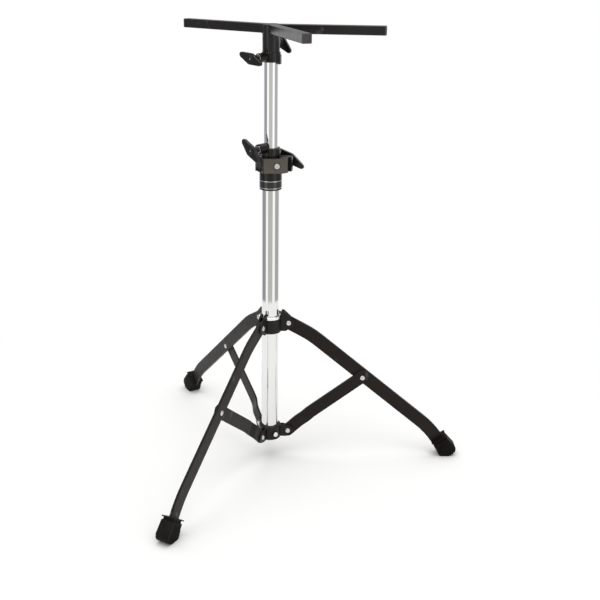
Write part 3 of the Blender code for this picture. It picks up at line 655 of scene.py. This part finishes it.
def boot(side, angle):
    """A rubber foot: a thin lip, a short neck, and a block with grooves along its sides and sole."""
    end, before = Vector(LEG_PATH[-1]), Vector(LEG_PATH[-2])
    down = (end - before).normalized()
    out = Vector((-down.y, down.x))
    rear, fore = Vector(BOOT_TOP[0]), Vector(BOOT_TOP[1])
    along = (fore - rear).normalized()
    below = Vector((along.y, -along.x))

    def at(point, forward, drop):
        return tuple(point + along * forward + below * drop)

    toe = arc(TOE_CENTRE, TOE_RADIUS, -90, 0, 12)
    neck_drop = 0.0048
    block = fillet([(BOOT_HEEL_R, 0.0, 0.0020), *toe, (toe[-1][0] - 0.001, 0.0200, 0.004),
                    (*at(fore, 0.0004, neck_drop), 0.0018), (*at(rear, -0.0004, neck_drop), 0.0018),
                    (BOOT_HEEL_R - 0.0025, 0.0040, 0.0020)], 4)
    body = slab(f"boot_{side}_rubber", block, -BOOT_HALF, BOOT_HALF, 0.0014, 4)
    neck_half = BOOT_HALF - 0.0020
    neck = fillet([(*at(rear, 0.0016, -0.0006), 0.0012), (*at(rear, 0.0016, 0.0090), 0.0012),
                   (*at(fore, -0.0016, 0.0090), 0.0012), (*at(fore, -0.0016, -0.0006), 0.0012)], 3)
    lip = fillet([(*at(rear, -LIP, -0.0016), 0.0008), (*at(rear, -LIP, 0.0004), 0.0008),
                  (*at(fore, LIP, 0.0004), 0.0008), (*at(fore, LIP, -0.0016), 0.0008)], 3)
    lip_half = BOOT_HALF + LIP
    join(body, slab("neck", neck, -neck_half, neck_half, 0.0010),
         slab("lip", lip, -lip_half, lip_half, 0.0006))

    def slot(point, length, width, near, far):
        """A straight-sided cutter that follows the leg's direction from a point."""
        a, b = point - out * width / 2, point + out * width / 2
        corners = [tuple(a), tuple(b), tuple(b + down * length), tuple(a + down * length)]
        return slab("slot", corners, near, far, 0.0)

    cutters = []
    groove, depth, pitch, grooves = 0.0017, 0.0013, 0.0047, 6
    centre = end - down * 0.0185
    for i in range(grooves):
        aside = (i - (grooves - 1) / 2) * pitch - 0.0006
        start = centre + out * aside
        for near, far in ((BOOT_HALF - depth, BOOT_HALF + 0.01), (-BOOT_HALF - 0.01, -BOOT_HALF + depth)):
            cutters.append(slot(start, 0.060, groove, near, far))
        reach = sole_distance(start, down)
        cutters.append(slot(start + down * (reach - depth), 0.02, groove * 0.96,
                            -BOOT_HALF + depth * 0.7, BOOT_HALF - depth * 0.7))
    carve(body, *cutters)
    mouth = strap_outline((*LEG_PATH[1:3], tuple(end - down * 0.0155)), LEG_BEND_R, LEG_WIDTH + 0.0022, False)
    mouth_half = LEG_THICK / 2 + 0.0014
    stretch = tuple(end + down * GAP)
    pocket = strap_outline((*LEG_PATH[1:3], stretch), LEG_BEND_R, LEG_WIDTH + 2 * GAP, False)
    pocket_half = LEG_THICK / 2 + GAP
    carve(body, slab("mouth", mouth, -mouth_half, mouth_half, 0.0),
          slab("pocket", pocket, -pocket_half, pocket_half, 0.0))
    place(body, in_leg_plane(angle))
    finish_piece(body, f"leg_{side}", "boot_rubber", [f"boot_{side}"], 50)


def sole_distance(start, down):
    """How far it is from a point, in the leg's direction, to the sole or the toe's curve."""
    flat = start.y / -down.y
    if start.x + down.x * flat <= TOE_CENTRE[0]:
        return flat
    away = start - Vector(TOE_CENTRE)
    b = away.dot(down)
    return -b + math.sqrt(b * b - away.dot(away) + TOE_RADIUS ** 2)


def ears(outline, strap_thick, edge):
    """Pairs of plates round a collar, each pair with room for a strap between."""
    offset = strap_thick / 2 + GAP + EAR_THICK / 2
    plates = []
    for angle in LEGS.values():
        for middle in (-offset, offset):
            plate = slab("ear", outline, -EAR_THICK / 2, EAR_THICK / 2, edge, 2)
            plates.append(place(plate, in_leg_plane(angle, middle)))
    return plates


def leg_collar():
    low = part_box("leg_collar")[0].z
    high = heights("collar_trim_ring")[0] - GAP
    collar = place(bar("leg_collar_casting", COLLAR_R, low, high, 0.0009, 96), AT_MAST)
    nose = arc((PIVOT_R, LEG_PIVOT_Z), EAR_R, -80, 62, 14)
    outline = fillet([(0.0180, low + 0.001), (0.0300, low + 0.001), *nose, (0.0265, high + 0.0140, 0.0012),
                      (0.0225, high + 0.0140, 0.0012), (0.0216, high + 0.0115, 0.0010),
                      (0.0216, high - 0.0006), (0.0180, high - 0.0006)], 4)
    middle = (low + high) / 2
    screw_place = outward(LEG_LOCK_AZIMUTH, height=middle)
    boss = place(bar("boss", 0.0085, 0.0180, LEG_LOCK_SEAT, 0.0007, 40), screw_place)
    join(collar, *ears(outline, LEG_THICK, 0.0006), boss)
    screw = place(bar("hole", SCREW_R + GAP, 0.0100, 0.0400), screw_place)
    rivet_holes = [rivet_hole(angle, PIVOT_R, LEG_PIVOT_Z) for angle in LEGS.values()]
    # The rivet holes are cut first: after the bore they leave this mesh open.
    carve(collar, *rivet_holes, screw, place(reamer(COLLAR_BORE, low, high, 0.0004), AT_MAST))
    finish_piece(collar, "leg_collar", "black_collar", ["leg_collar"])
    low, high = heights("collar_trim_ring")
    bore = COLLAR_BORE + 0.0005
    trim = lathe("collar_trim", fillet([
        (bore, low), (COLLAR_R, low, 0.0004), (COLLAR_R, high - 0.0012, 0.0010), (0.0196, high, 0.0006),
        (0.0186, high, 0.0004), (0.0183, low + 0.0022, 0.0004), (0.0174, low + 0.0022, 0.0004),
        (0.0172, high - 0.0010, 0.0003), (bore, high - 0.0010, 0.0002)], 4), 96)
    finish_piece(place(trim, AT_MAST), "leg_collar", "bright_hardware", ["collar_trim_ring"])


def lower_collar():
    low, high = heights("lower_collar")
    collar = place(bar("lower_collar_casting", COLLAR_R, low, high, 0.0009, 96), AT_MAST)
    nose = arc((PIVOT_R, BRACE_PIVOT_Z), EAR_R, -90, 90, 18)
    outline = [(0.0180, low + 0.001), (0.0280, low + 0.001), *nose, (0.0240, high - 0.001),
               (0.0180, high - 0.001)]
    screw_place = outward(COLLAR_SCREW_AZIMUTH, height=BRACE_PIVOT_Z)
    boss = place(bar("boss", 0.0062, 0.0180, 0.0225, 0.0006, 40), screw_place)
    join(collar, *ears(outline, BRACE_THICK, 0.0006), boss)
    hole = place(bar("hole", KEY_HOLE_R, 0.0100, 0.0300), screw_place)
    carve(collar, place(reamer(COLLAR_BORE, low, high, 0.0004), AT_MAST), hole,
          *[rivet_hole(angle, PIVOT_R, BRACE_PIVOT_Z) for angle in LEGS.values()])
    finish_piece(collar, "base", "black_collar", ["lower_collar"])
    screw = socket_screw("lower_collar_bolt", 0.0163, 0.0228, 0.0046, 0.0022, 0.0016)
    finish_piece(place(screw, screw_place), "base", "bright_hardware", ["lower_collar_screw"])


def socket_screw(name, tip, seat, head_r, head_h, socket_r):
    """A button-head screw with a six-sided socket."""
    top = seat + head_h
    profile = fillet([(0, tip), (0.0023, tip, 0.0003), (0.0023, seat), (head_r, seat, 0.0002),
                      (head_r, top, 0.0008), (0, top)], 4)
    screw = lathe(name, profile, 48)
    hexagon = arc((0, 0), socket_r, 0, 300, 5)
    return carve(screw, slab("socket", hexagon, top - 0.0014, top + 0.01, 0.0))


def tripod():
    leg_flange = LEG_THICK / 2 + GAP + EAR_THICK
    brace_flange = BRACE_THICK / 2 + GAP + EAR_THICK
    for side, angle in LEGS.items():
        leg_strap(side, angle)
        brace_strap(side, angle)
        boot(side, angle)
        rivet(f"brace_pivot_rivet_{side}", "base", -brace_flange, brace_flange, angle, PIVOT_R, BRACE_PIVOT_Z)
        rivet(f"leg_pivot_rivet_{side}", "leg_collar", -leg_flange, leg_flange, angle, PIVOT_R, LEG_PIVOT_Z)
        rivet(f"knee_rivet_{side}", f"leg_{side}", -BRACE_SHIFT - BRACE_THICK / 2, LEG_THICK / 2,
              angle, KNEE_R, KNEE_Z)
    leg_collar()
    lower_collar()


# ---- Wing bolts and stop locks -----------------------------------------------------------
def wing_bolt(node, body, seat, tip, where, reach=BLADE_REACH):
    """A plastic wing with two tapered blades, moulded round a steel screw; it lies along Z."""
    start = seat + WASHER + 2 * GAP
    end = start + WING_LENGTH
    hub = lathe(f"{node}_grip", fillet([
        (0, start), (0.0064, start, 0.0004), (0.0064, start + 0.0015, 0.0005),
        (0.0050, start + 0.0032, 0.0008), (0.0050, start + 0.0092, 0.0020),
        (0.0068, start + 0.0120, 0.0015), (0.0068, end, 0.0014), (0, end)], 4), 48)
    tip_r = 0.0040
    near = arc((reach - tip_r, 0), tip_r, -82, 82, 12)
    far = arc((-reach + tip_r, 0), tip_r, 98, 262, 12)
    spindle = fillet([(0.0, -BLADE_WAIST, 0.010), *near, (0.0, BLADE_WAIST, 0.010), *far], 6)
    blades = slab("blades", spindle, start + 0.0126, start + 0.0193, 0.0019, 3)
    join(hub, blades)
    carve(hub, bar("bore", SCREW_R + 0.00005, start - 0.01, end + 0.01, 0, 40))
    thread = [(0, tip), (SCREW_R - 0.0008, tip)]
    turns = int((start - tip) / THREAD_PITCH)
    for i in range(turns):
        low = tip + i * THREAD_PITCH
        thread.append((SCREW_R - 0.0005, low + 0.0001))
        thread += [(SCREW_R, low + THREAD_PITCH * 0.4), (SCREW_R, low + THREAD_PITCH * 0.6)]
    shaft = SCREW_R - 0.0001
    thread += [(shaft, start), (shaft, end - 0.0026), (shaft - 0.0005, end - 0.0021), (0, end - 0.0021)]
    wing = gather(f"{node}_wing", [(hub, "wing_plastic"), (lathe("screw", thread, 32), "bright_hardware")])
    finish_piece(place(wing, where), body, "wing_plastic", [node])


def washer(node, body, seat, where):
    low = seat + GAP
    disc = ring(f"{node}_disc", WASHER_R, SCREW_R + GAP, low, low + WASHER, 0.0003, 48)
    finish_piece(place(disc, where), body, "bright_hardware", [node])


def stop_lock(name, boss_z, boss_r, lug_drop, roll):
    """A moulded clamp ring with a screw boss, and a small lug on the other side."""
    low, high = LOCK_Z[name]
    lock = place(bar(f"{name}_stop_ring", LOCK_R, low, high, 0.0009, 96), AT_MAST)
    where = outward(LOCK_AZIMUTH, height=boss_z)
    boss = place(bar("boss", boss_r, 0.0145, LOCK_SEAT, 0.0008, 48), where)
    lug_outline = fillet([(0.0140, -0.0045), (0.0182, -0.0045, 0.0010), (0.0182, 0.0045, 0.0010),
                          (0.0140, 0.0045)], 3)
    lug = place(slab("lug", lug_outline, low - lug_drop, high - 0.0040, 0.0006), about_mast(LUG_AZIMUTH))
    join(lock, boss, lug)
    bore = place(bar("bore", UPPER_R + GAP, low - 0.01, high + 0.02, 0, 96), AT_MAST)
    # Cut before the bore, with its edges turned off the bore's own, so that the mesh stays closed.
    screw_hole = bar("hole", SCREW_R + GAP, 0.0080, 0.0400, 0, 26)
    place(screw_hole, outward(LOCK_AZIMUTH, height=boss_z, roll=1.7))
    carve(lock, screw_hole, bore)
    body = f"{name}_stop"
    finish_piece(lock, body, "black_moulding", [f"{name}_stop_lock"])
    washer(f"{name}_stop_washer", body, LOCK_SEAT, where)
    rolled = outward(LOCK_AZIMUTH, height=boss_z, roll=roll)
    wing_bolt(f"{name}_stop_wing_bolt", f"{name}_stop_wing_bolt", LOCK_SEAT, UPPER_R + GAP, rolled)


# ---- Height joint ------------------------------------------------------------------------
def beside_slit(distance, offset):
    """A point in plan, measured along the clamp's slit and square to it."""
    turn = math.radians(SLIT_AZIMUTH)
    return (distance * math.cos(turn) - offset * math.sin(turn),
            distance * math.sin(turn) + offset * math.cos(turn))


def leaf(side, low, high):
    """A hinge knuckle and the web that ties it to its half of the clamp."""
    near, far = sorted((side * 0.0024, side * 0.0080))
    left, right = HINGE_X - 0.0022, HINGE_X + 0.0031
    corners = [(left, near), (right, near), (right, far), (left, far)]
    knuckle = ring("knuckle", KNUCKLE_R, HINGE_PIN_R + GAP, low, high, 0.0004, 40)
    place(knuckle, AT_MAST @ Matrix.Translation((HINGE_X, 0, 0)))
    return [knuckle, place(slab("web", corners, low, high, 0.0), AT_MAST)]


def height_joint():
    low, high = heights("joint_housing")
    shoulder = heights("base_tube")[1] + GAP
    groove, bore = HOUSING_R - 0.0007, UPPER_R + GAP
    housing = lathe("joint_housing_shell", fillet([
        (HOUSING_R, high, 0.0006), (bore, high, 0.0005), (bore, shoulder), (COLLAR_BORE, shoulder),
        (COLLAR_BORE, low, 0.0004), (HOUSING_R, low, 0.0010), (HOUSING_R, LABEL_Z[0], 0.0001),
        (groove, LABEL_Z[0]), (groove, LABEL_Z[1]), (HOUSING_R, LABEL_Z[1], 0.0001)], 4), 112)
    finish_piece(place(housing, AT_MAST), "base", "black_moulding", ["joint_housing"])
    bottom, top = LABEL_Z[0] + GAP, LABEL_Z[1] - GAP
    label = ring("label_sleeve", HOUSING_R + 0.0002, groove + GAP, bottom, top, 0.0001, 112)
    finish_piece(place(label, AT_MAST), "base", "label", ["label_band"])
    line = 0.0009
    outer, inner = HOUSING_R + 0.0003, HOUSING_R + 0.00021
    for end, start in (("lower", bottom), ("upper", top - line)):
        foil = ring(f"label_line_{end}", outer, inner, start, start + line, 0.00002, 112)
        finish_piece(place(foil, AT_MAST), "base", "bright_hardware")
    clamp()


def clamp():
    """A hinged clamp round the housing: a square front half and a round rear half."""
    low, high = heights("clamp_front_half")
    middle = (low + high) / 2
    inner = HOUSING_R + GAP
    knuckle = 0.0055
    bolt_at = beside_slit(CLAMP_BOLT, 0.0)
    bolt_z = middle_of("height_washer").z
    bolt = outward(90 + SLIT_AZIMUTH, bolt_at, bolt_z)
    front_outline = fillet([
        (-0.0205, -0.0046), (-0.0238, -0.0046, 0.0008), (-0.0238, -0.0090, 0.0010),
        (-0.0175, -0.0135, 0.0012), (-0.0146, -0.0250, 0.0010), (-0.0130, -0.0260, 0.0010),
        (0.0215, -0.0260, 0.0018), (0.0305, -0.0185, 0.0018), (*beside_slit(0.0338, -0.0010), 0.0008),
        *arc((0, 0), inner, SLIT_AZIMUTH - 3, -166, 40)], 4)
    front = place(slab("clamp_front_casting", front_outline, low, high, 0.0009), AT_MAST)
    join(front, *leaf(-1, middle - knuckle + GAP, middle + knuckle - GAP))
    key = outward(-90, (KEY_BOLT_X, 0), middle)
    carve(front, place(bar("bolt_hole", SCREW_R + GAP, -0.0090, 0.0200), bolt),
          place(bar("key_hole", KEY_HOLE_R, 0.0100, 0.0300), key),
          place(bar("countersink", 0.0062, 0.0251, 0.0300, 0, 48), key))
    # Faces take grey or black by the way they point: the front's real grey, plus painted light on the
    # right-facing chamfer and painted shade on the left-facing flanks.
    front.data.materials.append(MATERIALS["grey_casting"])
    front.data.materials.append(MATERIALS["black_collar"])
    for face in front.data.polygons:     # grey on the flat front, its own two-tone; grey on the right-facing chamfer as painted light, black on the left-facing flanks as painted shade
        face.material_index = 0 if face.normal.y < -0.7 and face.normal.x > -0.4 else 1
    finish_piece(front, "base", "grey_casting", ["clamp_front_half"])

    rear_outline = fillet([
        (*beside_slit(0.0385, 0.0010), 0.0008), (*beside_slit(0.0385, CLAMP_LUG), 0.0015),
        beside_slit(0.0218, CLAMP_LUG), *arc((0, 0), REAR_HALF_R, 34, 166, 32),
        (-0.0205, 0.0046), *arc((0, 0), inner, 166, SLIT_AZIMUTH + 3, 40)], 4)
    rear = place(slab("clamp_rear_casting", rear_outline, low, high, 0.0009), AT_MAST)
    join(rear, *leaf(1, low, middle - knuckle), *leaf(1, middle + knuckle, high))
    carve(rear, place(bar("bolt_hole", SCREW_R + GAP, -0.0090, 0.0200), bolt))
    finish_piece(rear, "base", "black_collar", ["clamp_rear_half"])

    pin = bar("clamp_pin", HINGE_PIN_R, low, high, 0.0003)
    place(pin, AT_MAST @ Matrix.Translation((HINGE_X, 0, 0)))
    finish_piece(pin, "base", "rivet_steel", ["clamp_hinge_pin"])
    bolt_head = socket_screw("clamp_key_screw", 0.0212, 0.0257, 0.0047, 0.0032, 0.0013)
    finish_piece(place(bolt_head, key), "base", "bright_hardware", ["clamp_key_bolt"])
    washer("height_washer", "base", CLAMP_LUG, bolt)
    rolled = outward(90 + SLIT_AZIMUTH, bolt_at, bolt_z, roll=-57)
    wing_bolt("height_wing_bolt", "height_wing_bolt", CLAMP_LUG, -0.0060, rolled, CLAMP_BLADE_REACH)


# ---- Top frame ---------------------------------------------------------------------------
def arm(side, angle):
    """A square tube whose inner end is coped round the sleeve."""
    half, middle = ARM_SIDE / 2, ARM_TOP - ARM_SIDE / 2
    hollow = half - ARM_WALL
    lengthways = about_mast(angle) @ Matrix(((0, 0, 1, 0), (1, 0, 0, 0), (0, 1, 0, middle), (0, 0, 0, 1)))

    def square(side_half, radius):
        return fillet([(side_half, side_half, radius), (-side_half, side_half, radius),
                       (-side_half, -side_half, radius), (side_half, -side_half, radius)], 5)

    tube = place(slab(f"arm_{side}_tube", square(half, ARM_EDGE), 0.0080, ARM_REACH, 0.0002, 1), lengthways)
    inside = place(slab("hollow", square(hollow, 0.0006), 0.0, ARM_REACH + 0.01, 0.0), lengthways)
    cope = place(bar("cope", SLEEVE_R + GAP, ARM_TOP - ARM_SIDE - 0.01, ARM_TOP + 0.01, 0, 96), AT_MAST)
    carve(tube, inside, cope)
    finish_piece(tube, "top_frame", "satin_arm", [f"arm_{side}"])
    weld(side, lengthways, half)

    face = ARM_REACH + GAP
    outside = face + CAP_THICK
    cap = place(slab(f"arm_{side}_end_cap", square(half, ARM_EDGE), face, outside, 0.0006), lengthways)
    spigot = slab("spigot", square(hollow - GAP, 0.0005), face - 0.0120, face + 0.0010, 0.0005)
    place(spigot, lengthways)
    recess = place(slab("recess", square(0.0050, 0.0008), outside - 0.0006, face + 0.01, 0.0), lengthways)
    join(cap, spigot)
    carve(cap, recess)
    finish_piece(cap, "top_frame", "cap_plastic", [f"arm_cap_{side}"])


def weld(side, lengthways, half):
    """A bead of weld in the corner between an arm and the sleeve, on the arm's sides and underside."""
    bead, step = 0.0011, 0.0012
    corner = half - ARM_EDGE
    path = [(half, half - 0.0020 - step * i) for i in range(9)]
    path += [(corner + ARM_EDGE * math.cos(a), -corner + ARM_EDGE * math.sin(a))
             for a in (math.radians(-15 * k) for k in range(7))]
    path += [(corner - step * i, -half) for i in range(1, 12)]
    path += [(-corner + ARM_EDGE * math.cos(a), -corner + ARM_EDGE * math.sin(a))
             for a in (math.radians(-90 - 15 * k) for k in range(7))]
    path += [(-half, -corner + step * i) for i in range(1, 9)]
    bm = bmesh.new()
    sides = 10
    previous = None
    for index, (y, z) in enumerate(path):
        ripple = bead * (1 + 0.14 * math.sin(index * 2.4))
        centre = Vector((y, z, math.sqrt((SLEEVE_R + GAP) ** 2 - y * y) + 0.0002))
        ahead = Vector((*path[min(index + 1, len(path) - 1)], 0)) - Vector((*path[max(index - 1, 0)], 0))
        outwards = Vector((0, 0, 1))
        across = ahead.normalized().cross(outwards)
        loop = []
        for k in range(sides):
            turn = 2 * math.pi * k / sides
            away = across * math.cos(turn) + outwards * math.sin(turn)
            loop.append(bm.verts.new(centre + away * ripple))
        if previous is None:
            bm.faces.new(loop)
        else:
            for k in range(sides):
                bm.faces.new((previous[k], previous[(k + 1) % sides], loop[(k + 1) % sides], loop[k]))
        previous = loop
    bm.faces.new(previous[::-1])
    finish_piece(place(put_in_scene(f"arm_{side}_weld", bm), lengthways), "top_frame", "satin_arm", sharp=80)


def top_frame():
    low, high = heights("top_sleeve")
    bolt_z = middle_of("sleeve_washer").z
    where = outward(SLEEVE_AZIMUTH, height=bolt_z)
    sleeve = place(bar("top_sleeve_tube", SLEEVE_R, low, high, 0.0007, 96), AT_MAST)
    join(sleeve, place(bar("boss", 0.0078, 0.0140, SLEEVE_SEAT, 0.0007, 48), where))
    bore = place(reamer(UPPER_R + GAP, low, high, 0.0003), AT_MAST)
    carve(sleeve, bore, place(bar("hole", SCREW_R + GAP, 0.0080, 0.0400), where))
    finish_piece(sleeve, "top_frame", "satin_arm", ["top_sleeve"])
    rim, tube_top = high + GAP, heights("upper_tube")[1] + GAP
    cap = lathe("sleeve_lid", fillet([
        (0, ARM_TOP - 0.0006), (0.0100, ARM_TOP - 0.0006, 0.0010), (0.0112, ARM_TOP, 0.0010),
        (SLEEVE_R, ARM_TOP, 0.0010), (SLEEVE_R, rim), (UPPER_R, rim), (UPPER_R, tube_top),
        (0, tube_top)], 4), 96)
    finish_piece(place(cap, AT_MAST), "top_frame", "cap_plastic", ["sleeve_cap"])
    for side, angle in ARM_ANGLES.items():
        arm(side, angle)
    washer("sleeve_washer", "top_frame", SLEEVE_SEAT, where)
    rolled = outward(SLEEVE_AZIMUTH, height=bolt_z, roll=135)
    wing_bolt("sleeve_wing_bolt", "sleeve_wing_bolt", SLEEVE_SEAT, UPPER_R + GAP, rolled)


def leg_lock():
    height = middle_of("leg_lock_washer").z
    washer("leg_lock_washer", "leg_collar", LEG_LOCK_SEAT, outward(LEG_LOCK_AZIMUTH, height=height))
    rolled = outward(LEG_LOCK_AZIMUTH, height=height, roll=110)
    wing_bolt("leg_lock_wing_bolt", "leg_lock_wing_bolt", LEG_LOCK_SEAT, BASE_R + GAP, rolled)


# ---- The scene ---------------------------------------------------------------------------
bpy.context.scene.view_settings.view_transform = "Standard"
camera()
studio()
floor()
mast()
tripod()
leg_lock()
height_joint()
stop_lock("lower", boss_z=0.6175, boss_r=0.0092, lug_drop=0.0, roll=48)
stop_lock("upper", boss_z=0.7784, boss_r=0.0082, lug_drop=0.0035, roll=73)
top_frame()
